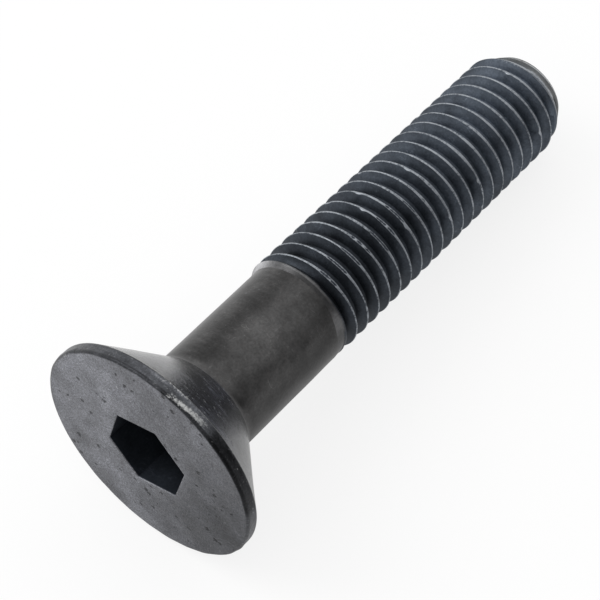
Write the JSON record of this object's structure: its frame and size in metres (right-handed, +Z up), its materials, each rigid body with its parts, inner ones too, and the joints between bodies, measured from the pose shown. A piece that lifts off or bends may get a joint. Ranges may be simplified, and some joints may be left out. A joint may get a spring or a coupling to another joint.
{
  "type": "countersunk socket screw",
  "caption": "Steel screw with a flat countersunk head, a hexagon socket, a plain shank and a metric thread with a tapered point.",
  "frame": {"origin": "centre of the bounding box's footprint, on the surface that the screw lies on", "axes": "+Z up; +X from the head towards the point, along the screw's length, which tips down towards the point by about 6 degrees because the screw lies on its rim and on its thread; +Y to the side"},
  "size_m": [0.0618, 0.0238, 0.0238],
  "materials": {
    "steel": "satin"
  },
  "bodies": {
    "root": {"screw": "steel"}
  },
  "joints": []
}
